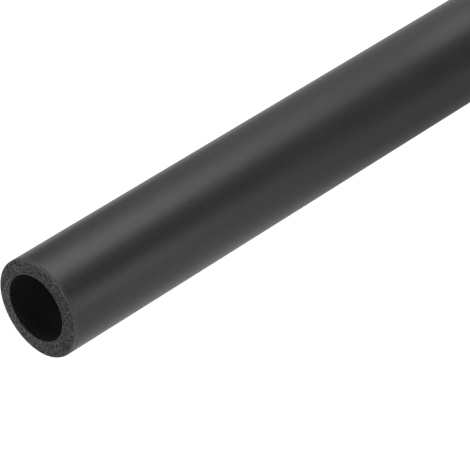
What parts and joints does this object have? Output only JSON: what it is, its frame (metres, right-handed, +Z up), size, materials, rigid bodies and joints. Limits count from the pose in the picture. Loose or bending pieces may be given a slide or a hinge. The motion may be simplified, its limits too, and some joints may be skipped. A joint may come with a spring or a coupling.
{
  "type": "pipe insulation tube",
  "caption": "Round black closed-cell foam lagging tube with a plain open bore that slips over a pipe to insulate it; both ends cut square.",
  "frame": {"origin": "on the surface that the tube lies on, under the middle of its length and of its width", "axes": "+X along the tube from the end that the picture shows to the far end, +Z up"},
  "size_m": [1, 0.041, 0.041],
  "materials": {
    "foam": "black closed-cell nitrile rubber foam: satin extruded skin outside, fine open pores on the cut ends"
  },
  "bodies": {
    "root": {"insulation_tube": "foam"}
  },
  "joints": []
}
